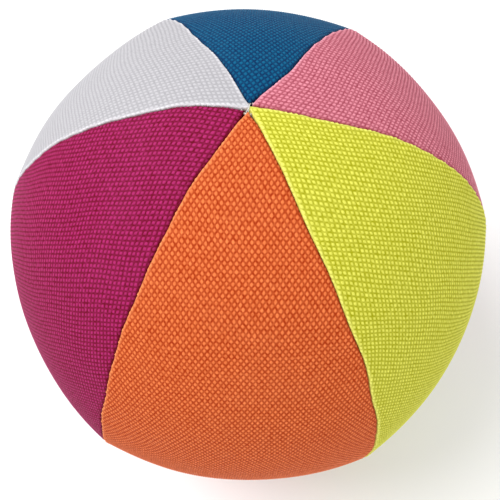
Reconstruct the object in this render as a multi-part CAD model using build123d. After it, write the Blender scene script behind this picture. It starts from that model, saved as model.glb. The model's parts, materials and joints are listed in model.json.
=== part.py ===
from build123d import *
import math
import os

# A fabric-covered inflatable ball, in millimetres. The origin is the ball's centre,
# +Z runs through the pole where the six panel tips meet, and the orange panel faces -Y.

# --- Cover: six woven panels over an inflated bladder ---
seam_radius = 113.0          # from the axis to a seam ridge, at the equator
seam_ridge = 3.0             # how far a seam stands out past the middle of a panel there
pole_rise = 4.2              # how much further out than the seam ridges the poles lie
rest_flattening = 2.2        # how much of the lower pole is pressed flat where the ball stands
fabric_thickness = 0.9
pole_hole_radius = 0.8       # the pin-hole where the six tips meet
allowance_width = 8.0        # cloth turned in along each seam and pressed open
allowance_end_radius = 22.0  # the turned cloth is trimmed away this near to a pole
panel_angles = {"orange": -90, "yellow": -30, "pink": 30, "blue": 90, "white": 150, "magenta": 210}

# --- Sewing thread ---
seam_thread_width = 1.0
seam_thread_thickness = 0.5
stitch_ring_radius = 2.4     # the ring of thread that draws the tips together
stitch_thread_radius = 0.35

# --- Bladder: welded vinyl film ---
bladder_gap = 0.3            # running room between the bladder and the middle of a panel
bladder_pole_room = 4.4      # from a pole of the cover down to the bladder's own pole
film_thickness = 0.3
cap_radius = 18.0            # round end caps welded inside the panel tips
cap_overlap = 2.0
weld_gap = 0.05              # layers that lie on each other keep this much apart

# --- Stem of the valve: a push-in tube in a collar ---
valve_angle = -38.0          # degrees above the equator, in the middle of the blue panel
stem_radius = 5.0
bore_radius = 3.0
rim_lip = 2.0                # the rim outside stands this far out past the tube
rim_thickness = 1.2
rim_standoff = 0.45          # from the bladder up to the underside of the rim
bead_lip = 1.2               # the retaining bead inside stands this far out past the tube
bead_height = 1.2
stem_travel = 11.0           # how far the stem pops out for blowing up the ball
stem_stop_gap = 0.3          # left between the bead and the collar at that limit
slide_clearance = 0.05       # radial room between the stem and its collar
collar_wall = 2.15
collar_length = 3.7
flange_lip = 6.8             # the flange spreads this far out past the collar
flange_thickness = 1.0
film_hole_clearance = 0.4    # radial room round the stem where it leaves the film

# --- Port in the blue panel, round the stem's rim ---
port_clearance = 1.6         # radial room between the rim and the bound edge of the port
binding_width = 4.0          # tape folded round the edge of the hole
binding_thickness = 0.6
binding_margin = 1.2         # from the tape's outer edge in to its stitching

# --- Plug with its strap, and the flap ---
plug_clearance = 0.04        # radial room between the plug and the bore
plug_shank_length = 8.0
plug_head_lip = 2.3          # the head stands this far out past the bore
plug_head_thickness = 1.4
plug_tab_length = 2.2
plug_tab_width = 3.4
tether_clearance = 0.45      # radial room between the plug's head and the strap round it
tether_width = 1.0
tether_thickness = 0.9
tether_tab_clearance = 1.15  # from each side of the tab to an end of the strap
flap_lip = 1.2               # the flap reaches this far out past the bore
flap_thickness = 0.6
flap_gap = 0.1
flap_hinge_reach = 0.8       # the hinge strip runs this far past the flap's edge, and as far in
flap_hinge_width = 3.0

# --- Worked out from these ---
panel_count = len(panel_angles)
half_turn = 180.0 / panel_count
half_angle = math.radians(half_turn)
panel_mid_radius = seam_radius - seam_ridge
pole_radius = seam_radius + pole_rise
rest_plane = pole_radius - rest_flattening
rim_radius = stem_radius + rim_lip
collar_radius = stem_radius + slide_clearance + collar_wall
flange_radius = collar_radius + flange_lip
port_radius = rim_radius + port_clearance + binding_thickness
plug_head_radius = bore_radius + plug_head_lip
tether_inner_radius = plug_head_radius + tether_clearance
tether_outer_radius = tether_inner_radius + tether_width
flap_radius = bore_radius + flap_lip
reach = 2.0 * seam_radius    # larger than anything here, for cutting tools
overshoot = 1.0              # how far a cutting tool runs past the face that it cuts


def arc_through(equator, pole):
    """A meridian arc's centre distance behind the axis, and its radius."""
    behind = (pole**2 - equator**2) / (2.0 * equator)
    return behind, equator + behind


panel_behind, panel_arc = arc_through(panel_mid_radius, pole_radius)
half_chord = seam_radius * math.sin(half_angle)
crown = panel_mid_radius - seam_radius * math.cos(half_angle)
cross_radius = (half_chord**2 + crown**2) / (2.0 * crown)
bladder_radius = panel_mid_radius - fabric_thickness - bladder_gap
bladder_pole_radius = pole_radius - bladder_pole_room
bladder_behind, bladder_arc = arc_through(bladder_radius, bladder_pole_radius)


def crowned_body(depth):
    """The full body whose outside is one panel's surface, taken in by depth.

    Its cross-section arc, in the plane of the equator, is turned round an axis that
    lies behind the ball's own axis, so the panel is curved both along and across.
    """
    radius = cross_radius - depth
    centre = panel_arc - cross_radius - panel_behind
    half_width = 1.2 * half_chord
    edge = centre + math.sqrt(radius**2 - half_width**2)
    outline = make_face(
        ThreePointArc((edge, -half_width), (centre + radius, 0), (edge, half_width))
        + Polyline(
            (edge, half_width),
            (-panel_behind, half_width),
            (-panel_behind, -half_width),
            (edge, -half_width),
        )
    )
    return revolve(outline, axis=Axis((-panel_behind, 0, 0), (0, 1, 0)))


def crowned_layer(outer_depth, inner_depth):
    """A layer between two depths below the panel's outside."""
    return crowned_body(outer_depth) - crowned_body(inner_depth)


def sector(from_seam=0.0):
    """The wedge of one panel about +X, its sides moved in from the seam planes."""
    tip = from_seam / math.sin(half_angle)
    side = (reach - tip) * math.tan(half_angle)
    wedge = make_face(Polyline((tip, 0), (reach, -side), (reach, side), (tip, 0)))
    return extrude(wedge, amount=reach, both=True)


def upright(radius):
    """A tall cylinder round the ball's axis."""
    return Cylinder(radius, 2.0 * reach)


def above(height):
    """Everything above a level."""
    centred = (Align.CENTER, Align.CENTER, Align.MIN)
    return Pos(0, 0, height) * Box(2 * reach, 2 * reach, 2 * reach, align=centred)


def panel_shape():
    """One cover panel about +X: its wall, and the cloth turned in at both seams."""
    side = sector()
    outside = crowned_body(0) & side & above(-rest_plane)
    inside = crowned_body(fabric_thickness) & above(-rest_plane + fabric_thickness)
    wall = outside - inside
    turned = crowned_layer(fabric_thickness, 2 * fabric_thickness) & (side - sector(allowance_width))
    turned = turned & above(-rest_plane + 2 * fabric_thickness) - upright(allowance_end_radius)
    return wall + turned - upright(pole_hole_radius)


def seam_thread_shape():
    """The thread of the seam in the XZ plane, inside the ball on its +X side."""
    top = 2 * fabric_thickness + weld_gap
    layer = crowned_layer(top, top + seam_thread_thickness) & (sector() - sector(seam_thread_width / 2))
    layer = layer & Pos(0, -reach / 2, 0) * Box(2 * reach, reach, 2 * reach)
    half = Rot(0, 0, half_turn) * (layer - upright(allowance_end_radius))
    return half + mirror(half, Plane.XZ)


def closing_stitch(level):
    """The ring of thread under six panel tips."""
    return Pos(0, 0, level) * Torus(stitch_ring_radius, stitch_thread_radius)


def bladder_point(depth, from_axis, side):
    """A point of the bladder's meridian, by its depth and distance from the axis."""
    height = math.sqrt((bladder_arc - depth) ** 2 - (from_axis + bladder_behind) ** 2)
    return (from_axis, 0, side * height)


def film_panel(outer_depth, inner_depth):
    """One welded bladder panel about +X, from the upper cap to the lower one."""
    hole = cap_radius - cap_overlap
    upper = bladder_point(outer_depth, hole, 1)
    lower = bladder_point(outer_depth, hole, -1)
    inner_upper = bladder_point(inner_depth, hole, 1)
    inner_lower = bladder_point(inner_depth, hole, -1)
    outline = make_face(
        ThreePointArc(lower, (bladder_radius - outer_depth, 0, 0), upper)
        + Line(upper, inner_upper)
        + ThreePointArc(inner_upper, (bladder_radius - inner_depth, 0, 0), inner_lower)
        + Line(inner_lower, lower)
    )
    return Rot(0, 0, -half_turn) * revolve(outline, axis=Axis.Z, revolution_arc=2 * half_turn)


def film_cap(side):
    """A round cap welded under the six tips, at the upper (1) or lower (-1) pole."""
    middle = cap_radius - cap_overlap / 2
    level = bladder_point(film_thickness + weld_gap, middle, 1)[2]
    centre = level - math.sqrt(bladder_arc**2 - middle**2)
    shell = Sphere(bladder_arc) - Sphere(bladder_arc - film_thickness)
    cap = Pos(0, 0, centre) * shell & upright(cap_radius) & above(level / 2)
    return cap if side > 0 else mirror(cap, Plane.XY)


# The valve stands along a line square to the middle of its panel. valve_place puts the
# origin where that line leaves the cover, with +Z outwards.
valve_direction = (math.cos(math.radians(valve_angle)), 0, math.sin(math.radians(valve_angle)))
valve_origin = (
    panel_arc * valve_direction[0] - panel_behind,
    0,
    panel_arc * valve_direction[2],
)
valve_place = Plane(origin=valve_origin, x_dir=(0, 1, 0), z_dir=valve_direction)


def bladder_level():
    """How far below the cover's outside the bladder lies on the valve's line."""
    along = (panel_behind - bladder_behind) * valve_direction[0]
    across = (panel_behind - bladder_behind) * valve_direction[2]
    return math.sqrt(bladder_arc**2 - across**2) + along - panel_arc


bladder_top = bladder_level()
rim_base = bladder_top + rim_standoff
rim_top = rim_base + rim_thickness
flange_base = bladder_top - film_thickness - weld_gap - flange_thickness
collar_end = flange_base - collar_length
stem_end = collar_end - stem_stop_gap - stem_travel - bead_height
plug_base = rim_top + weld_gap


def disc(radius, low, high):
    """A round of the valve between two levels on its own line."""
    return Pos(0, 0, low) * Cylinder(radius, high - low, align=(Align.CENTER, Align.CENTER, Align.MIN))


def drill(radius):
    """A round that cuts right through one wall of the ball along the valve's line."""
    return disc(radius, -seam_radius / 2, seam_radius / 2)


def on_valve(shape):
    """Puts a shape drawn on the valve's own line into its panel."""
    return valve_place.location * shape


def port_binding():
    """Tape folded round the edge of the hole, outside and inside the cloth."""
    ring = on_valve(drill(port_radius + binding_width) - drill(port_radius - binding_thickness))
    folded = crowned_layer(-binding_thickness, fabric_thickness + binding_thickness) & ring
    gripped = crowned_layer(-weld_gap, fabric_thickness + weld_gap) - on_valve(drill(port_radius - weld_gap))
    return folded - gripped


def port_stitching():
    """The ring of thread that holds the tape down, on the outside."""
    middle = port_radius + binding_width - binding_margin
    ring = on_valve(drill(middle + stitch_thread_radius) - drill(middle - stitch_thread_radius))
    top = -binding_thickness - weld_gap
    return crowned_layer(top - stitch_thread_radius, top) & ring


def valve_flange():
    """A disc of thicker vinyl under the film, with the collar that guides the stem."""
    top = film_thickness + weld_gap
    plate = film_panel(top, top + flange_thickness) & on_valve(drill(flange_radius))
    collar = disc(collar_radius, collar_end, flange_base + flange_thickness / 2)
    return plate + on_valve(collar) - on_valve(drill(stem_radius + slide_clearance))


def valve_stem():
    """The push-in tube, with a rim outside and a retaining bead inside."""
    tube = disc(stem_radius, stem_end, rim_top)
    rim = disc(rim_radius, rim_base, rim_top)
    bead = disc(stem_radius + bead_lip, stem_end, stem_end + bead_height)
    body = tube + rim + bead - disc(bore_radius, stem_end - overshoot, rim_top + overshoot)
    return on_valve(body)


def valve_plug():
    """The stopper, with a tab to pull it by, half as thick as its head."""
    head = disc(plug_head_radius, plug_base, plug_base + plug_head_thickness)
    tab = Box(2 * plug_tab_length, plug_tab_width, plug_head_thickness / 2)
    head = head + Pos(plug_head_radius, 0, plug_base + 0.75 * plug_head_thickness) * tab
    shank = disc(bore_radius - plug_clearance, rim_top - plug_shank_length, plug_base)
    return on_valve(fillet(head.edges().group_by(Axis.Z)[-1], 0.25 * plug_head_thickness) + shank)


def plug_tether():
    """The strap that keeps the plug on the stem, lying round its head."""
    ring = disc(tether_outer_radius, plug_base, plug_base + tether_thickness)
    ring = ring - disc(tether_inner_radius, plug_base - overshoot, plug_base + tether_thickness + overshoot)
    opening_width = plug_tab_width + 2 * tether_tab_clearance
    opening = Box(2 * tether_outer_radius, opening_width, 4 * tether_thickness)
    return on_valve(ring - Pos(tether_outer_radius, 0, plug_base) * opening)


def check_flap():
    """The flap that closes the inner end of the stem."""
    top = stem_end - flap_gap
    flap = disc(flap_radius, top - flap_thickness, top)
    hinge_strip = Box(2 * flap_hinge_reach, flap_hinge_width, flap_thickness)
    return on_valve(flap + Pos(-flap_radius, 0, top - flap_thickness / 2) * hinge_strip)


def save(shape, name):
    """Writes one piece, turned to its place in the ball."""
    solids = shape.solids()
    export_step(solids[0] if len(solids) == 1 else Compound(solids), "parts/" + name + ".step")


os.makedirs("parts", exist_ok=True)

panel = panel_shape()
port_hole = on_valve(drill(port_radius))
valve_turn = panel_angles["blue"]
for colour, angle in panel_angles.items():
    shape = panel - port_hole if angle == valve_turn else panel
    save(Rot(0, 0, angle) * shape, "panel_" + colour)

seam_thread = seam_thread_shape()
for number in range(panel_count):
    save(Rot(0, 0, number * 2 * half_turn) * seam_thread, "seam_thread_" + str(number + 1))

stitch_room = stitch_thread_radius + 2 * weld_gap
upper_tips = math.sqrt((panel_arc - fabric_thickness) ** 2 - (panel_behind + stitch_ring_radius) ** 2)
save(closing_stitch(upper_tips - stitch_room), "closing_stitch_top")
save(closing_stitch(-rest_plane + fabric_thickness + stitch_room), "closing_stitch_bottom")

film = film_panel(0, film_thickness)
film_hole = on_valve(drill(stem_radius + film_hole_clearance))
for number, angle in enumerate(panel_angles.values()):
    shape = film - film_hole if angle == valve_turn else film
    save(Rot(0, 0, angle) * shape, "bladder_panel_" + str(number + 1))

save(film_cap(1), "bladder_cap_top")
save(film_cap(-1), "bladder_cap_bottom")

valve = {
    "valve_port_binding": port_binding(),
    "valve_port_stitching": port_stitching(),
    "valve_flange": valve_flange(),
    "valve_stem": valve_stem(),
    "valve_plug": valve_plug(),
    "plug_tether": plug_tether(),
    "check_flap": check_flap(),
}
for name, shape in valve.items():
    save(Rot(0, 0, valve_turn) * shape, name)
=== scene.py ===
import json
import math

import bpy
import numpy as np
from mathutils import Matrix, Vector


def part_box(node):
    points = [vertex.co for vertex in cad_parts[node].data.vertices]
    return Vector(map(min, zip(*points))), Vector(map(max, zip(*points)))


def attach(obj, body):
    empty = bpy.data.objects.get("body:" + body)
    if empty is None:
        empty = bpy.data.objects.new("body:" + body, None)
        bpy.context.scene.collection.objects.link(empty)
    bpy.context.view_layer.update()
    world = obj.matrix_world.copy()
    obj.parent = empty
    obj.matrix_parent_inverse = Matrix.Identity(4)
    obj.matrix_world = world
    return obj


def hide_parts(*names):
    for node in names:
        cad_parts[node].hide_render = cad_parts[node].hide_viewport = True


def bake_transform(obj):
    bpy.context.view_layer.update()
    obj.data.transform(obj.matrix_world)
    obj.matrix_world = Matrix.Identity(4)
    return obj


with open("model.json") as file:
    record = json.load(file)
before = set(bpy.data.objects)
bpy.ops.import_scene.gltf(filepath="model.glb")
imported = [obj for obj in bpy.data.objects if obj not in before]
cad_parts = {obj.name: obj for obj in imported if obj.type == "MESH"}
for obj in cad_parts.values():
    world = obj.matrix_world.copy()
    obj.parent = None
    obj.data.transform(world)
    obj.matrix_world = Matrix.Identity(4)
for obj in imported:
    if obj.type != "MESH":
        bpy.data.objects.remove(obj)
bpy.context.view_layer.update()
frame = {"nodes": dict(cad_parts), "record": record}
MM = 0.001

# The cover's sizes, in metres. A panel lies in its own place about +X and is turned from
# there; the seams are the planes 30 degrees to either side of it.
PANEL_TURNS = {"orange": -90, "yellow": -30, "pink": 30, "blue": 90, "white": 150, "magenta": 210}
HALF_ANGLE = math.pi / len(PANEL_TURNS)
low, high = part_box("panel_orange")
REST_LEVEL = low[2]
MID_RADIUS = -low[1]
SEAM_RADIUS = high[0] / math.sin(HALF_ANGLE)
POLE_RADIUS = 117.2 * MM

# The crowned shape: the meridian arc's centre lies BEHIND the ball's axis, and the panel's
# cross-section is an arc of radius CROSS.
BEHIND = (POLE_RADIUS**2 - MID_RADIUS**2) / (2 * MID_RADIUS)
MERIDIAN = MID_RADIUS + BEHIND
HALF_CHORD = SEAM_RADIUS * math.sin(HALF_ANGLE)
CROWN = MID_RADIUS - SEAM_RADIUS * math.cos(HALF_ANGLE)
CROSS = (HALF_CHORD**2 + CROWN**2) / (2 * CROWN)

# The weave: yarns along a panel stand ACROSS_PITCH apart, and yarns across it ALONG_PITCH.
ACROSS_PITCH = 0.990 * MM
ALONG_PITCH = 1.410 * MM
HALF_WIDTH = 59.0 * MM       # half the flat cut of cloth, a little more than the panel needs
HALF_LENGTH = 177.5 * MM
YARNS_ACROSS = 2 * math.ceil(HALF_WIDTH / ACROSS_PITCH)
YARNS_ALONG = 2 * math.ceil(HALF_LENGTH / ALONG_PITCH)
OVER_HEIGHT = 0.10 * MM      # the checkerboard of yarns that lie on top
GAP_DEPTH = 0.055 * MM       # the gaps between yarns
LAPPED_ROLL = 0.50 * MM      # radius of the fold on the side of a seam that laps over
TUCKED_ROLL = 0.95 * MM      # and on the side that goes under
SEAM_GAP = 0.10 * MM         # from a folded edge to the seam's plane
SEAM_LAP = 0.32 * MM         # how far the upper panel of a seam laps past the seam's plane
PUCKER = 0.10 * MM           # the ripple that the stitches pull into the cloth beside a seam
PUCKER_LENGTH = 8.5 * MM
PUCKER_REACH = 4 * MM
LAPPED_SWELL = 0.16 * MM     # how far the cloth stands up beside its seam where it laps over
TUCKED_SWELL = -0.10 * MM    # and where it goes under
SWELL_REACH = 1.6 * MM
LAPPED_TEETH = 1.3           # how much of the weave's relief shows in the line of the edge
TUCKED_TEETH = 0.5
TEETH_REACH = 0.9 * MM
EDGE_MARK = 0.75 * MM        # width of the stretch beside a seam that has a painted highlight where it laps over and painted shade where it goes under
EDGE_TURNS = (0.990, 0.988)  # the two steps, as scales, by which an edge is turned in

# Which sides of a panel lie over their neighbour at the seam, seen from outside: the
# side that follows anticlockwise (+) and the side before (-).
LAPS = {"orange": "-", "yellow": "+-", "pink": "+", "blue": "", "white": "+-", "magenta": ""}

# Each cloth's colour as it looks in the studio's light, and how strongly its weave shows in painted
# shade and highlights and in its uneven yarns.
CLOTHS = {
    "orange": ((0.860, 0.410, 0.185), 1.0),
    "yellow": ((0.845, 0.843, 0.290), 0.95),
    "pink": ((0.835, 0.480, 0.545), 1.0),
    "blue": ((0.010, 0.322, 0.480), 0.66),
    "white": ((0.740, 0.733, 0.750), 0.40),
    "magenta": ((0.605, 0.065, 0.330), 0.95),
}
YARN_WANDER = 1.3            # spread of a yarn's stray from its even place, where pi is one pitch
WEAVE_PAINTED_LIGHT = 0.135       # step of the painted highlight on the over-yarns and of the painted shade in the hollows, from the cloth's own colour
STUDIO_LIGHT = 1.16          # what a matt surface here sends back for each part it reflects
STUDIO_VEIL = 0.010          # and what its gloss adds to that


def deselect():
    """Leaves nothing selected, in object mode."""
    if bpy.context.object and bpy.context.object.mode != "OBJECT":
        bpy.ops.object.mode_set(mode="OBJECT")
    bpy.ops.object.select_all(action="DESELECT")


def activate(piece):
    """Selects one piece alone."""
    deselect()
    bpy.context.view_layer.objects.active = piece
    piece.select_set(True)


def settle(piece):
    """Puts a piece's place into its mesh."""
    activate(piece)
    bpy.ops.object.transform_apply(location=True, rotation=True, scale=True)


def points_of(piece):
    """A mesh's points as rows of x, y, z."""
    points = np.empty(len(piece.data.vertices) * 3)
    piece.data.vertices.foreach_get("co", points)
    return points.reshape(-1, 3)


def move_points(piece, points):
    """Puts the rows of x, y, z back into a mesh."""
    piece.data.vertices.foreach_set("co", np.ascontiguousarray(points).ravel())
    piece.data.update()


def select_faces(piece, test):
    """In edit mode, selects the faces whose centre passes a test."""
    bpy.ops.mesh.select_mode(type="FACE")
    bpy.ops.mesh.select_all(action="DESELECT")
    bpy.ops.object.mode_set(mode="OBJECT")
    centres = np.empty(len(piece.data.polygons) * 3)
    piece.data.polygons.foreach_get("center", centres)
    piece.data.polygons.foreach_set("select", test(centres.reshape(-1, 3)))
    bpy.ops.object.mode_set(mode="EDIT")


# ---------------------------------------------------------------- materials


class Shader:
    """A small helper that wires one procedural material."""

    def __init__(self, name):
        self.material = bpy.data.materials.new(name)
        self.material.use_nodes = True
        self.tree = self.material.node_tree
        self.surface = self.tree.nodes["Principled BSDF"]

    def node(self, kind, **settings):
        made = self.tree.nodes.new(kind)
        for key, value in settings.items():
            setattr(made, key, value)
        return made

    def put(self, value, socket):
        """Links a node's output to a socket, or sets the socket to a number or colour."""
        if isinstance(value, bpy.types.NodeSocket):
            self.tree.links.new(value, socket)
        else:
            socket.default_value = value

    def math(self, operation, first, second=0.0, third=0.0):
        made = self.node("ShaderNodeMath", operation=operation)
        for socket, value in zip(made.inputs, (first, second, third)):
            self.put(value, socket)
        return made.outputs[0]

    def mix(self, share, first, second):
        made = self.node("ShaderNodeMix", data_type="RGBA")
        self.put(share, made.inputs["Factor"])
        self.put(first, made.inputs[6])
        self.put(second, made.inputs[7])
        return made.outputs[2]

    def noise(self, vector, scale, detail=2.0, roughness=0.5):
        made = self.node("ShaderNodeTexNoise")
        self.put(vector, made.inputs["Vector"])
        self.put(scale, made.inputs["Scale"])
        self.put(detail, made.inputs["Detail"])
        self.put(roughness, made.inputs["Roughness"])
        return made.outputs["Fac"]

    def stretched_noise(self, vector, across, along, detail):
        """Noise on the cloth's cut, with this many grains across it and along it."""
        made = self.node("ShaderNodeMapping")
        self.put(vector, made.inputs["Vector"])
        made.inputs["Scale"].default_value = (across, along, 1)
        return self.noise(made.outputs[0], 1.0, detail)

    def about_zero(self, value, size):
        """Turns a noise about its middle into a value about nought."""
        return self.math("MULTIPLY", self.math("SUBTRACT", value, 0.5), size)

    def bump(self, height, distance, strength=1.0):
        made = self.node("ShaderNodeBump")
        self.put(height, made.inputs["Height"])
        made.inputs["Distance"].default_value = distance
        made.inputs["Strength"].default_value = strength
        self.put(made.outputs[0], self.surface.inputs["Normal"])

    def through(self):
        """Lets the surface be seen through, and returns the share's socket."""
        clear = self.node("ShaderNodeBsdfTransparent")
        blend = self.node("ShaderNodeMixShader")
        self.tree.links.new(self.surface.outputs[0], blend.inputs[1])
        self.tree.links.new(clear.outputs[0], blend.inputs[2])
        output = self.tree.nodes["Material Output"]
        self.tree.links.new(blend.outputs[0], output.inputs["Surface"])
        return blend.inputs[0]

    def object_place(self):
        return self.node("ShaderNodeTexCoord").outputs["Object"]

    def spread(self, value, low_in, high_in, low_out, high_out):
        """Maps one range of a value to another, held at its ends."""
        made = self.node("ShaderNodeMapRange")
        for socket, part in zip(made.inputs, (value, low_in, high_in, low_out, high_out)):
            self.put(part, socket)
        return made.outputs[0]


def shade(colour, factor):
    """A colour made lighter or darker, as a shader takes it."""
    return tuple(min(1.0, part * factor) for part in colour) + (1.0,)


def toward(colour, other, share):
    """A colour moved by a share of the way to another."""
    return tuple(a + (b - a) * share for a, b in zip(colour, other))


def linear(part):
    """One part of a screen colour, as light."""
    return ((part + 0.055) / 1.055) ** 2.4 if part > 0.04045 else part / 12.92


def dye(colour, lift=0.0):
    """The reflectance that looks like a colour in the studio's light, made lighter by lift."""
    seen = [linear(min(1.0, max(0.0, part + lift))) for part in colour]
    parts = [min(0.92, max(0.001, (part - STUDIO_VEIL) / STUDIO_LIGHT)) for part in seen]
    return (*parts, 1.0)


def weave(s, cut, slubs, picks):
    """The relief of the weave: 1 on the yarns that lie on top, below nought in its gaps."""
    parts = s.node("ShaderNodeSeparateXYZ")
    s.put(cut, parts.inputs[0])
    wide = YARNS_ACROSS * math.pi
    long = YARNS_ALONG * math.pi
    across = s.math("MULTIPLY_ADD", parts.outputs[0], wide, -wide / 2)
    along = s.math("MULTIPLY_ADD", parts.outputs[1], long, -long / 2)
    across = s.math("ADD", across, s.about_zero(slubs, YARN_WANDER))
    along = s.math("ADD", along, s.about_zero(picks, YARN_WANDER))
    checker = s.math("MULTIPLY", s.math("COSINE", across), s.math("COSINE", along))
    twice_across = s.math("COSINE", s.math("MULTIPLY", across, 2.0))
    twice_along = s.math("COSINE", s.math("MULTIPLY", along, 2.0))
    gaps = s.math("MULTIPLY", s.math("ADD", twice_across, twice_along), 0.5)
    return s.math("ADD", s.math("MULTIPLY", checker, 0.62), s.math("MULTIPLY", gaps, 0.38))


def cloth_material(name, colour, contrast):
    """Coarse plain-woven cloth, its pattern laid by the panel's own cut."""
    s = Shader("cloth_" + name)
    cut = s.node("ShaderNodeUVMap", uv_map="UVMap").outputs[0]
    slubs = s.stretched_noise(cut, YARNS_ACROSS * 0.9, YARNS_ALONG * 0.12, 2.0)
    picks = s.stretched_noise(cut, YARNS_ACROSS * 0.10, YARNS_ALONG * 0.9, 2.0)
    height = weave(s, cut, slubs, picks)
    filaments = s.stretched_noise(cut, YARNS_ACROSS * 7, YARNS_ALONG * 1.2, 1.0)
    cells = s.stretched_noise(cut, YARNS_ACROSS * 0.8, YARNS_ALONG * 0.8, 1.0)
    wear = s.noise(s.object_place(), 38.0, 4.0, 0.6)

    # The weave's light and dark: painted highlights on the yarns that lie on top and painted shade in
    # the gaps, with the yarns' random tone.
    light = s.spread(height, -0.46, 0.42, 0.0, 1.0)
    tone = s.math("ADD", light, s.about_zero(filaments, 0.45))
    tone = s.math("ADD", tone, s.about_zero(cells, 0.85))
    step = WEAVE_PAINTED_LIGHT * contrast
    base = s.mix(tone, dye(colour, -1.45 * step), dye(colour, step))

    # Thicker and thinner yarns, and a little wear.
    uneven = s.math("ADD", s.math("MULTIPLY", slubs, 0.5), s.math("MULTIPLY", picks, 0.5))
    base = s.mix(s.spread(uneven, 0.35, 0.65, 0.35 * contrast, 0.0), base, dye(colour, -1.1 * step))
    base = s.mix(s.spread(wear, 0.48, 0.75, 0.0, 0.07), base, dye(toward(colour, (1, 1, 1), 0.25)))

    # The fold catches the light where it laps over, and lies in shade where it goes under: a painted
    # highlight on the lapped edge and painted shade on the tucked one.
    lapped = s.node("ShaderNodeAttribute", attribute_name="lapped_edge_highlight").outputs["Fac"]
    tucked = s.node("ShaderNodeAttribute", attribute_name="tucked_edge_shade").outputs["Fac"]
    painted_edge_highlight = s.math("MULTIPLY", lapped, s.spread(tone, 0.0, 1.0, 0.55, 1.0))
    base = s.mix(painted_edge_highlight, base, dye(colour, 0.22))
    base = s.mix(s.math("MULTIPLY", tucked, 0.50), base, dye(colour, -0.24))

    s.put(base, s.surface.inputs["Base Color"])
    s.put(s.spread(tone, 0.0, 1.0, 0.80, 0.55), s.surface.inputs["Roughness"])
    s.surface.inputs["Specular IOR Level"].default_value = 0.08
    relief = s.math("ADD", s.math("MULTIPLY", height, 0.75), s.math("MULTIPLY", filaments, 0.35))
    s.bump(relief, 0.12 * MM, 0.7)
    return s.material


def tape_material(name, colour):
    """Narrow ribbed tape, its ribs across the fold."""
    s = Shader(name)
    cut = s.node("ShaderNodeUVMap", uv_map="UVMap").outputs[0]
    ribs = s.node("ShaderNodeTexWave", wave_type="BANDS", bands_direction="X")
    s.put(cut, ribs.inputs["Vector"])
    ribs.inputs["Scale"].default_value = 0.46
    ribs.inputs["Distortion"].default_value = 0.6
    fibres = s.noise(s.object_place(), 1800.0, 2.0)
    tone = s.math("MULTIPLY_ADD", fibres, 0.35, s.math("MULTIPLY", ribs.outputs["Fac"], 0.65))
    s.put(s.mix(tone, shade(colour, 0.45), shade(colour, 0.95)), s.surface.inputs["Base Color"])
    s.surface.inputs["Roughness"].default_value = 0.72
    s.surface.inputs["Sheen Weight"].default_value = 0.12
    s.bump(tone, 0.12 * MM, 0.8)
    return s.material


def thread_material():
    """Bonded polyester thread, with its twist."""
    s = Shader("thread_pale")
    twist = s.node("ShaderNodeTexWave", wave_type="BANDS", bands_direction="DIAGONAL")
    s.put(s.object_place(), twist.inputs["Vector"])
    twist.inputs["Scale"].default_value = 900.0
    twist.inputs["Distortion"].default_value = 1.5
    strands = s.mix(twist.outputs["Fac"], (0.50, 0.48, 0.42, 1), (0.84, 0.82, 0.76, 1))
    s.put(strands, s.surface.inputs["Base Color"])
    s.surface.inputs["Roughness"].default_value = 0.55
    s.bump(twist.outputs["Fac"], 0.05 * MM, 0.6)
    return s.material


def vinyl_material(name, colour, roughness):
    """Soft moulded or welded vinyl, faintly dimpled and uneven in gloss."""
    s = Shader(name)
    here = s.object_place()
    cloud = s.noise(here, 60.0, 3.0)
    grain = s.noise(here, 1400.0, 2.0)
    s.put(s.mix(cloud, shade(colour, 0.90), shade(colour, 1.05)), s.surface.inputs["Base Color"])
    s.put(s.spread(grain, 0.3, 0.7, roughness - 0.06, roughness + 0.10), s.surface.inputs["Roughness"])
    s.surface.inputs["Subsurface Weight"].default_value = 0.12
    s.surface.inputs["Subsurface Radius"].default_value = (1.6 * MM, 1.3 * MM, 1.1 * MM)
    s.surface.inputs["Coat Weight"].default_value = 0.25
    s.surface.inputs["Coat Roughness"].default_value = 0.15
    s.bump(grain, 0.03 * MM, 0.35)
    return s.material


THREAD = thread_material()
TAPE = tape_material("tape_blue", (0.010, 0.085, 0.20))
FILM = vinyl_material("film_vinyl", (0.74, 0.77, 0.75), 0.28)
VALVE = vinyl_material("valve_vinyl", (0.83, 0.84, 0.80), 0.34)


# ---------------------------------------------------------------- the cover


def crown(across, along, height):
    """A point of the cloth on the crowned panel about +X, raised by height."""
    turn = along / MERIDIAN
    bend = across / CROSS
    out = MERIDIAN - CROSS + (CROSS + height) * np.cos(bend)
    side = (CROSS + height) * np.sin(bend)
    return np.stack([out * np.cos(turn) - BEHIND, side, out * np.sin(turn)], -1)


def seam_distance(points):
    """How far points of the panel about +X lie inside the nearer seam plane."""
    return points[:, 0] * math.sin(HALF_ANGLE) - np.abs(points[:, 1]) * math.cos(HALF_ANGLE)


def weave_height(across, along):
    """The relief of the plain weave."""
    u = np.pi * across / ACROSS_PITCH
    v = np.pi * along / ALONG_PITCH
    return OVER_HEIGHT * np.cos(u) * np.cos(v) + GAP_DEPTH * (np.cos(2 * u) + np.cos(2 * v)) / 2


def seam_fold(inside, roll):
    """How far the cloth drops as it rolls over into its seam."""
    near = np.clip(roll - inside, 0.0, roll)
    rolled = roll - np.sqrt(np.maximum(roll**2 - near**2, 0.0))
    return rolled + np.clip(-inside, 0.0, None) * 2.0


def flat_cut():
    """A flat piece of cloth as wide and long as a panel, two steps to every yarn."""
    columns = 2 * YARNS_ACROSS
    rows = 2 * YARNS_ALONG
    bpy.ops.mesh.primitive_grid_add(x_subdivisions=columns, y_subdivisions=rows, size=1.0)
    cut = bpy.context.object
    cut.scale = (YARNS_ACROSS * ACROSS_PITCH, YARNS_ALONG * ALONG_PITCH, 1.0)
    settle(cut)
    return cut


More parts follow.
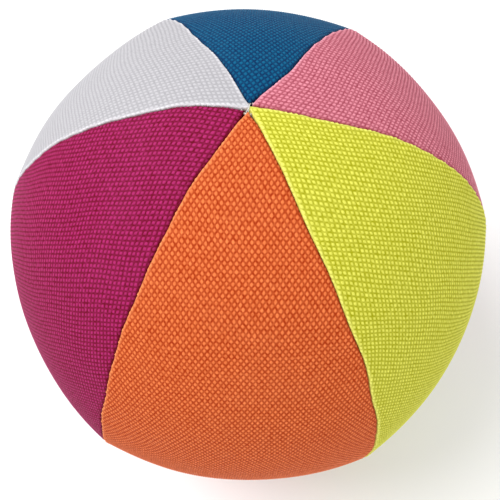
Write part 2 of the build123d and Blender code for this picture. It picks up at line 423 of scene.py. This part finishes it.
def edge_shifts(laps):
    """How far the two edges of a panel lie inside the seam planes, after (+) and before (-)."""
    return {side: SEAM_GAP - SEAM_LAP if side in laps else SEAM_GAP + SEAM_LAP for side in "+-"}


def crowned(across, along, shifts):
    """Points of the flat cut, laid on the crowned panel with its weave and its seam folds."""
    shift = np.where(across > 0, shifts["+"], shifts["-"])
    lapped = shift < SEAM_GAP
    inside = seam_distance(crown(across, along, 0.0)) - shift
    past_seam = np.clip(inside, 0, None)
    pucker = PUCKER * np.exp(-past_seam / PUCKER_REACH)
    pucker = pucker * np.sin(2 * np.pi * along / PUCKER_LENGTH + 1.7 * np.sin(along / (23 * MM)))
    swell = np.where(lapped, LAPPED_SWELL, TUCKED_SWELL) * np.exp(-past_seam / SWELL_REACH)
    relief = weave_height(across, along)
    fold = seam_fold(inside, np.where(lapped, LAPPED_ROLL, TUCKED_ROLL))
    points = crown(across, along, relief - fold + pucker + swell)
    teeth = np.where(lapped, LAPPED_TEETH, TUCKED_TEETH) * relief
    points[:, 1] += np.sign(across) * teeth * np.exp(-np.abs(inside) / TEETH_REACH)
    return points


def crown_panel(panel, laps):
    """Crowns a flat cut about +X, trims it at its seams and turns its edges in."""
    shifts = edge_shifts(laps)
    flat = points_of(panel)
    move_points(panel, crowned(flat[:, 0], flat[:, 1], shifts))
    activate(panel)
    bpy.ops.object.mode_set(mode="EDIT")
    for side, sign in (("+", 1), ("-", -1)):
        bpy.ops.mesh.select_all(action="SELECT")
        normal = Vector((math.sin(HALF_ANGLE), -sign * math.cos(HALF_ANGLE), 0))
        bpy.ops.mesh.bisect(plane_co=normal * shifts[side], plane_no=normal, clear_inner=True)
    bpy.ops.mesh.select_all(action="DESELECT")
    bpy.ops.mesh.select_mode(type="EDGE")
    bpy.ops.mesh.select_non_manifold()
    for shrink in EDGE_TURNS:
        bpy.ops.mesh.extrude_region_move()
        bpy.ops.transform.resize(value=(shrink, shrink, shrink), center_override=(0, 0, 0))
    bpy.ops.object.mode_set(mode="OBJECT")
    mark_edges(panel, shifts)


def mark_edges(panel, shifts):
    """Notes on the mesh where its lapped edges and its tucked edges are, for the painted highlight and
    the painted shade beside its seams.
    """
    points = points_of(panel)
    shift = np.where(points[:, 1] > 0, shifts["+"], shifts["-"])
    inside = np.clip(seam_distance(points) - shift, 0, None)
    near = np.exp(-((inside / EDGE_MARK) ** 2))
    for name, chosen in (("lapped_edge_highlight", shift < SEAM_GAP), ("tucked_edge_shade", shift > SEAM_GAP)):
        mark = panel.data.attributes.new(name, "FLOAT", "POINT")
        mark.data.foreach_set("value", np.where(chosen, near, 0.0).astype(np.float32))


# How far each panel's upper tip is drawn back from the pole by its gathered seams, and how
# far down the panel that is felt.
TIP_SETBACK = {"orange": 1.5 * MM, "magenta": 1.0 * MM, "pink": 1.0 * MM, "blue": 0.6 * MM}
TIP_REACH = 4.5 * MM


def draw_back_tip(points, name):
    """Draws a panel's upper tip back along its own middle line."""
    spin = math.radians(PANEL_TURNS[name])
    away = np.hypot(points[:, 0], points[:, 1])
    pull = TIP_SETBACK.get(name, 0.0) * np.exp(-((away / TIP_REACH) ** 2)) * (points[:, 2] > 0)
    slope = (away + BEHIND) / MERIDIAN
    x = np.full(len(away), math.cos(spin))
    y = np.full(len(away), math.sin(spin))
    return points + pull[:, None] * np.column_stack([x, y, -slope])


# How far each seam wanders sideways, in mm: near the upper pole, further down, and just
# above the equator. The places and widths of these three stretches are in mm from the pole.
STRETCHES = [(25, 18), (105, 30), (150, 28)]
SEAM_WANDER = {
    -120: (-0.3, 2.3, 2.1),
    -60: (-0.3, 1.7, 3.4),
    0: (-1.1, 0.8, 0.8),
    60: (-2.6, 0.0, 0.0),
    120: (-1.0, 0.0, 0.0),
    180: (-1.7, 0.0, 0.0),
}
POLE_CALM = 6 * MM           # within this distance of the ball's axis the seams hardly wander


def wander(points):
    """Turns points about the ball's axis, so that the seams wander as they did when sewn."""
    azimuth = np.degrees(np.arctan2(points[:, 1], points[:, 0]))
    from_axis = np.hypot(points[:, 0], points[:, 1])
    from_pole = np.arctan2(from_axis, points[:, 2]) * SEAM_RADIUS / MM
    stretches = [np.exp(-(((from_pole - place) / width) ** 2)) for place, width in STRETCHES]
    sideways = np.zeros(len(points))
    for seam, amounts in SEAM_WANDER.items():
        apart = np.abs((azimuth - seam + 180) % 360 - 180)
        share = np.where(apart < 60, 0.5 + 0.5 * np.cos(np.radians(3 * apart)), 0.0)
        for amount, stretch in zip(amounts, stretches):
            sideways += share * amount * stretch * MM
    calm = 1 - np.exp(-((from_axis / POLE_CALM) ** 2))
    angle = sideways * calm / np.maximum(from_axis, MM)
    x = points[:, 0] * np.cos(angle) - points[:, 1] * np.sin(angle)
    y = points[:, 0] * np.sin(angle) + points[:, 1] * np.cos(angle)
    return np.column_stack([x, y, points[:, 2]])


WAVES = np.random.default_rng(11)


def wave_set(count, shortest, longest):
    """A few waves through space, each with a direction, a wavelength and a phase."""
    directions = WAVES.normal(size=(count, 3))
    directions /= np.linalg.norm(directions, axis=1)[:, None]
    lengths = WAVES.uniform(shortest, longest, size=count)
    return directions * (2 * np.pi / lengths)[:, None], WAVES.uniform(0, 2 * np.pi, size=count)


# The ball's skin swells and drifts in waves of these lengths, by no more than these sizes,
# and not at all where it stands.
SWELL = wave_set(7, 38 * MM, 80 * MM)
DRIFT = [wave_set(5, 22 * MM, 55 * MM) for _ in range(3)]
SWELL_SIZE = 0.55 * MM
DRIFT_SIZE = 0.9 * MM
CALM_ABOVE_REST = 30 * MM


def waves_at(points, waves):
    """The mean of a set of waves at each point."""
    vectors, phases = waves
    return np.sin(points @ vectors.T + phases).mean(axis=1)


def by_hand(points):
    """The small unevenness of sewn work, the same on both sides of a seam."""
    points = wander(points)
    radius = np.linalg.norm(points, axis=1)
    outward = points / radius[:, None]
    fade = np.clip((points[:, 2] - REST_LEVEL) / CALM_ABOVE_REST, 0, 1)
    swell = SWELL_SIZE * waves_at(points, SWELL) * fade
    drift = np.stack([waves_at(points, waves) for waves in DRIFT], -1) * DRIFT_SIZE * fade[:, None]
    drift -= outward * (drift * outward).sum(axis=1)[:, None]
    return points + outward * swell[:, None] + drift


def stand(points):
    """Flattens the lowest cloth where the ball stands, without a sharp rim."""
    soft = 0.25 * MM
    lift = points[:, 2] - REST_LEVEL
    eased = soft * np.log1p(np.exp(np.clip(lift / soft, -60, 60)))
    points = points.copy()
    points[:, 2] = REST_LEVEL + np.where(lift > 6 * soft, lift, eased)
    return points


# The valve's own line: it stands square to the middle of the blue panel.
JOINTS = {joint["name"]: joint for joint in frame["record"]["behaviour"]["joints"]}
VALVE_OUT = Vector(JOINTS["stem_slide"]["axis"]).normalized()
VALVE_FOOT = Vector((0, MERIDIAN * VALVE_OUT.y - BEHIND, MERIDIAN * VALVE_OUT.z))
VALVE_SIDE = Vector((-1, 0, 0))
VALVE_UP = VALVE_OUT.cross(VALVE_SIDE)
VALVE_TURN = Matrix((VALVE_SIDE, VALVE_UP, VALVE_OUT)).transposed()
VALVE_PLACE = Matrix.Translation(VALVE_FOOT) @ VALVE_TURN.to_4x4()
PORT_RADIUS = 9.2 * MM


def from_valve_line(points):
    """How far points lie from the valve's line."""
    away = points - np.array(VALVE_FOOT)
    out = np.array(VALVE_OUT)
    return np.linalg.norm(away - (away @ out)[:, None] * out, axis=1)


def in_port(centres):
    """Which places lie within the port, on the valve's own side of the ball."""
    return (from_valve_line(centres) < PORT_RADIUS) & (centres @ np.array(VALVE_OUT) > 0)


def cut_port(piece):
    """Takes the round port out of a panel's cloth."""
    activate(piece)
    bpy.ops.object.mode_set(mode="EDIT")
    select_faces(piece, in_port)
    bpy.ops.mesh.delete(type="FACE")
    bpy.ops.object.mode_set(mode="OBJECT")


def cover():
    """The six panels, each its own cut of cloth."""
    cut = flat_cut()
    for number, (name, turn) in enumerate(PANEL_TURNS.items(), 1):
        activate(cut)
        bpy.ops.object.duplicate()
        panel = bpy.context.object
        panel.name = "cover_" + name
        panel.data.name = panel.name
        crown_panel(panel, LAPS[name])
        spin = math.radians(turn)
        rows = [[math.cos(spin), -math.sin(spin), 0], [math.sin(spin), math.cos(spin), 0], [0, 0, 1]]
        turned = draw_back_tip(points_of(panel) @ np.array(rows).T, name)
        move_points(panel, stand(by_hand(turned)))
        if name == "blue":
            cut_port(panel)
        panel.data.materials.clear()
        panel.data.materials.append(cloth_material(name, *CLOTHS[name]))
        activate(panel)
        bpy.ops.object.shade_smooth()
        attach(panel, "ball")
        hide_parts("panel_" + name)
    activate(cut)
    bpy.ops.object.delete()


# ---------------------------------------------------------------- the valve's port


def valve_levels(local):
    """Where the cloth lies, along the valve's line, at places across it (blue panel only)."""
    spin = -math.radians(PANEL_TURNS["blue"])
    turn = np.array(Matrix.Rotation(spin, 3, "Z") @ VALVE_PLACE.to_3x3())
    foot = np.array(Matrix.Rotation(spin, 3, "Z") @ VALVE_FOOT)
    level = np.zeros(len(local))
    for _ in range(6):
        points = foot + np.column_stack([local[:, 0], local[:, 1], level]) @ turn.T
        out = MERIDIAN - CROSS + np.sqrt(CROSS**2 - points[:, 1] ** 2)
        level -= np.hypot(points[:, 0] + BEHIND, points[:, 2]) - out
    return level


def lay_on_port(piece):
    """Bends a piece drawn flat round the valve's line onto the cloth there."""
    points = points_of(piece)
    points[:, 2] += valve_levels(points)
    turn = np.array(VALVE_PLACE.to_3x3())
    move_points(piece, by_hand(points @ turn.T + np.array(VALVE_FOOT)))


def ring_uv(piece, turns):
    """Lays a pattern round a ring: U runs round it, V outwards, in the flat."""
    mesh = piece.data
    corners = np.empty(len(mesh.loops), dtype=np.int64)
    mesh.loops.foreach_get("vertex_index", corners)
    starts = np.empty(len(mesh.polygons), dtype=np.int64)
    mesh.polygons.foreach_get("loop_start", starts)
    points = points_of(piece)[corners]
    angle = np.arctan2(points[:, 1], points[:, 0])
    face = np.searchsorted(starts, np.arange(len(corners)), side="right") - 1
    first = angle[starts][face]
    past = angle - first
    angle += np.where(past < -np.pi, 2 * np.pi, 0) - np.where(past > np.pi, 2 * np.pi, 0)
    layer = mesh.uv_layers.new(name="UVMap") if not mesh.uv_layers else mesh.uv_layers[0]
    outwards = np.hypot(points[:, 0], points[:, 1]) / (10 * MM)
    flat = np.column_stack([angle * turns / (2 * np.pi), outwards])
    layer.data.foreach_set("uv", flat.astype(np.float32).ravel())


def binding():
    """Tape folded over the raw edge of the port, inside and out."""
    hole = PORT_RADIUS - 0.6 * MM
    outer = PORT_RADIUS + 4.0 * MM
    # The tape's section from its inner edge round the port's rim to its outer edge, as radius
    # and height in millimetres.
    rim = hole / MM
    edge = outer / MM
    inside = [(edge, -1.20), (edge - 0.3, -1.42), (rim + 0.9, -1.48), (rim + 0.25, -1.15)]
    fold = [(rim, -0.45), (rim + 0.22, 0.28), (rim + 0.8, 0.56), (rim + 1.8, 0.60)]
    stitched_down = [(edge - 1.9, 0.60), (edge - 1.2, 0.42), (edge - 0.5, 0.58)]
    outside = [(edge - 0.12, 0.48), (edge, 0.18), (edge - 0.05, 0.02)]
    profile = inside + fold + stitched_down + outside
    radius, height = profile[0]
    bpy.ops.mesh.primitive_circle_add(vertices=288, radius=radius * MM, location=(0, 0, height * MM))
    tape = bpy.context.object
    tape.name = "port_binding"
    settle(tape)
    bpy.ops.object.mode_set(mode="EDIT")
    bpy.ops.mesh.select_all(action="SELECT")
    for before, after in zip(profile, profile[1:]):
        rise = (0, 0, (after[1] - before[1]) * MM)
        bpy.ops.mesh.extrude_region_move(TRANSFORM_OT_translate={"value": rise})
        ratio = after[0] / before[0]
        bpy.ops.transform.resize(value=(ratio, ratio, 1), center_override=(0, 0, 0))
    bpy.ops.mesh.select_all(action="SELECT")
    bpy.ops.mesh.normals_make_consistent(inside=False)
    bpy.ops.object.mode_set(mode="OBJECT")
    ring_uv(tape, 96)
    ripple_tape(tape, hole, outer)
    lay_on_port(tape)
    tape.data.materials.append(TAPE)
    activate(tape)
    bpy.ops.object.shade_smooth()
    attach(tape, "ball")
    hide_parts("valve_port_binding")


def ripple_tape(tape, hole, outer):
    """Ripples the tape's upper side, more finely at its outer edge, as its stitches gather it."""
    points = points_of(tape)
    angle = np.arctan2(points[:, 1], points[:, 0])
    radius = np.hypot(points[:, 0], points[:, 1])
    above = np.clip(points[:, 2] / (0.5 * MM), 0, 1)
    inner = np.clip((outer - radius) / (outer - hole), 0, 1)
    at_edge = 0.10 * np.sin(34 * angle) * (1 - inner)
    at_rim = 0.07 * inner * np.sin(23 * angle + 1)
    points[:, 2] += above * MM * (at_edge + at_rim)
    move_points(tape, points)


def one_stitch(length, thickness):
    """A lockstitch lying along X: a thread that dips into the cloth at both ends."""
    bpy.ops.mesh.primitive_uv_sphere_add(segments=8, ring_count=8, radius=0.5)
    stitch = bpy.context.object
    bpy.ops.transform.rotate(value=math.pi / 2, orient_axis="Y", center_override=(0, 0, 0))
    stitch.scale = (thickness, thickness, length)
    settle(stitch)
    points = points_of(stitch)
    reach = np.abs(points[:, 0]) / (length / 2)
    points[:, 1:] *= (1 + 0.55 * reach * np.sqrt(np.clip(1 - reach, 0, 1)))[:, None]
    points[:, 2] += 0.10 * thickness - 0.9 * thickness * reach**2
    move_points(stitch, points)
    return stitch


def join_threads(pieces, name):
    """Joins pieces of thread into one, which rides on the ball."""
    deselect()
    for piece in pieces:
        piece.select_set(True)
    bpy.context.view_layer.objects.active = pieces[0]
    bpy.ops.object.join()
    joined = bpy.context.object
    joined.name = name
    joined.data.materials.append(THREAD)
    activate(joined)
    bpy.ops.object.shade_smooth()
    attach(joined, "ball")
    return joined


def port_stitches():
    """The ring of stitches that holds the tape down."""
    count = 34
    radius = PORT_RADIUS + 2.8 * MM
    height = 0.66 * MM
    stitch = one_stitch(1.95 * MM, 0.42 * MM)
    copies = []
    for number in range(count):
        angle = 2 * math.pi * number / count
        skew = 0.10 * math.sin(5 * angle) + 0.06
        seat = Matrix.Translation((radius * math.cos(angle), radius * math.sin(angle), height))
        activate(stitch)
        bpy.ops.object.duplicate()
        copy = bpy.context.object
        copy.data.transform(seat @ Matrix.Rotation(angle + math.pi / 2 + skew, 4, "Z"))
        copies.append(copy)
    ring = join_threads(copies, "port_stitching")
    activate(stitch)
    bpy.ops.object.delete()
    lay_on_port(ring)
    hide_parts("valve_port_stitching")


def strap():
    """The plug's strap: it runs round the plug from the tab to an anchor on the stem's rim."""
    low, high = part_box("plug_tether")
    outer = high[0]
    lean = outer * abs(VALVE_UP.z)
    top = (low[2] - VALVE_FOOT.z + lean) / VALVE_OUT.z
    base = (high[2] - VALVE_FOOT.z - lean) / VALVE_OUT.z
    width = 1.0 * MM
    rounding = 0.22 * MM
    middle = outer - width / 2
    first = math.radians(16.5)
    last = math.radians(268)
    bpy.ops.mesh.primitive_plane_add(size=1.0)
    band = bpy.context.object
    band.name = "strap"
    bpy.ops.transform.rotate(value=math.pi / 2, orient_axis="X", center_override=(0, 0, 0))
    band.scale = (width, top - base, 1.0)
    settle(band)
    bpy.ops.transform.translate(value=(middle, 0, (top + base) / 2))
    settle(band)
    bpy.ops.object.mode_set(mode="EDIT")
    bpy.ops.mesh.select_all(action="SELECT")
    bpy.ops.mesh.bevel(offset=rounding, segments=3, affect="VERTICES")
    bpy.ops.mesh.spin(steps=64, angle=last - first, center=(0, 0, 0), axis=(0, 0, 1))
    bpy.ops.mesh.select_all(action="SELECT")
    bpy.ops.mesh.remove_doubles(threshold=0.001 * MM)
    bpy.ops.mesh.normals_make_consistent(inside=False)
    bpy.ops.object.mode_set(mode="OBJECT")
    band.data.transform(Matrix.Rotation(first, 4, "Z"))
    anchor = strap_anchor(middle, last, top, base, rounding)
    band.select_set(True)
    anchor.select_set(True)
    bpy.context.view_layer.objects.active = band
    bpy.ops.object.join()
    band.data.transform(VALVE_PLACE)
    band.data.materials.append(VALVE)
    activate(band)
    bpy.ops.object.shade_smooth_by_angle(angle=math.radians(40))
    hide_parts("plug_tether")
    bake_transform(band)


def strap_anchor(middle, angle, top, base, rounding):
    """The round foot by which the strap is moulded to the stem's rim."""
    place = (middle * math.cos(angle), middle * math.sin(angle), (top + base) / 2)
    depth = top - base
    bpy.ops.mesh.primitive_cylinder_add(vertices=32, radius=0.95 * MM, depth=depth, location=place)
    anchor = bpy.context.object
    activate(anchor)
    bevel = anchor.modifiers.new("edge", "BEVEL")
    bevel.width = rounding
    bevel.segments = 3
    bpy.ops.object.modifier_apply(modifier="edge")
    settle(anchor)
    return anchor


# The loose turns of closing thread that show at the upper pole: which way each one lies in
# degrees, where it starts from the pole, its length and its thickness in millimetres.
TIP_STRANDS = [
    (-112, -0.3, 3.3, 0.26),
    (-97, -0.2, 2.5, 0.20),
    (80, -0.1, 1.7, 0.20),
    (104, 0.2, 1.3, 0.18),
]


def tip_strands():
    """Loose turns of the closing thread, where they show between the six tips."""
    pieces = []
    for azimuth, start, length, thickness in TIP_STRANDS:
        stitch = one_stitch(length * MM, thickness * MM)
        turn = math.radians(azimuth)
        reach = (start + length / 2) * MM
        place = Matrix.Translation((reach * math.cos(turn), reach * math.sin(turn), 0))
        stitch.data.transform(place @ Matrix.Rotation(turn, 4, "Z"))
        points = points_of(stitch)
        away = np.hypot(points[:, 0], points[:, 1])
        points[:, 2] += np.sqrt(MERIDIAN**2 - (away + BEHIND) ** 2) + 0.16 * MM
        move_points(stitch, by_hand(points))
        pieces.append(stitch)
    joined = join_threads(pieces, "tip_strands")


# ---------------------------------------------------------------- carried-over pieces


def dress_cad_nodes():
    """Gives every CAD node that stays its own finish."""
    finishes = {"seam_thread": THREAD, "closing_stitch": THREAD, "bladder": FILM}
    finishes.update({"valve": VALVE, "plug": VALVE, "check": VALVE})
    for node, piece in frame["nodes"].items():
        for start, material in finishes.items():
            if node.startswith(start):
                for slot in piece.material_slots:
                    slot.material = material


cover()
binding()
port_stitches()
strap()
tip_strands()
dress_cad_nodes()


# ---------------------------------------------------------------- setting, lights and camera


def floor():
    """A pale floor, clear from below so that the underside can be looked at."""
    bpy.ops.mesh.primitive_plane_add(size=12, location=(0, 0, REST_LEVEL))
    ground = bpy.context.object
    ground.name = "floor"
    s = Shader("pale_floor")
    s.surface.inputs["Base Color"].default_value = (0.93, 0.93, 0.93, 1.0)
    s.surface.inputs["Roughness"].default_value = 0.8
    s.put(s.node("ShaderNodeNewGeometry").outputs["Backfacing"], s.through())
    ground.data.materials.append(s.material)


def lamp(name, place, size, power):
    """A round soft lamp that looks at the middle of the ball."""
    bpy.ops.object.light_add(type="AREA", location=place)
    made = bpy.context.object
    made.name = name
    made.data.shape = "DISK"
    made.data.size = size
    made.data.energy = power
    made.rotation_euler = (-Vector(place)).to_track_quat("-Z", "Y").to_euler()


def lights():
    """A key lamp from the left and behind, a weaker one from the right, and a white room."""
    lamp("key", (-0.80, 0.15, 1.20), 0.9, 16.5)
    lamp("fill", (0.9, -0.7, 0.9), 1.4, 3.4)
    world = bpy.data.worlds.new("studio")
    bpy.context.scene.world = world
    world.use_nodes = True
    room = world.node_tree.nodes["Background"]
    room.inputs["Color"].default_value = (1, 1, 1, 1)
    room.inputs["Strength"].default_value = 0.78


def camera():
    """Looks down on the ball from close by, from a little to the right of the orange panel."""
    elevation = math.radians(66.79)
    azimuth = math.radians(-87.17)
    roll = Matrix.Rotation(math.radians(0.66), 3, "Z").to_quaternion()
    distance = 299.1 * MM
    sideways = distance * math.cos(elevation)
    height = distance * math.sin(elevation)
    place = Vector((sideways * math.cos(azimuth), sideways * math.sin(azimuth), height))
    bpy.ops.object.camera_add(location=place)
    eye = bpy.context.object
    eye.name = "eye"
    eye.rotation_euler = ((-place).to_track_quat("-Z", "Y") @ roll).to_euler()
    eye.data.sensor_width = 36.0
    eye.data.lens = 42.32
    eye.data.shift_x = 0.0056
    eye.data.shift_y = -0.0048
    eye.data.clip_start = 0.01
    eye.data.dof.use_dof = False
    bpy.context.scene.camera = eye
    bpy.context.scene.view_settings.view_transform = "Standard"


floor()
lights()
camera()
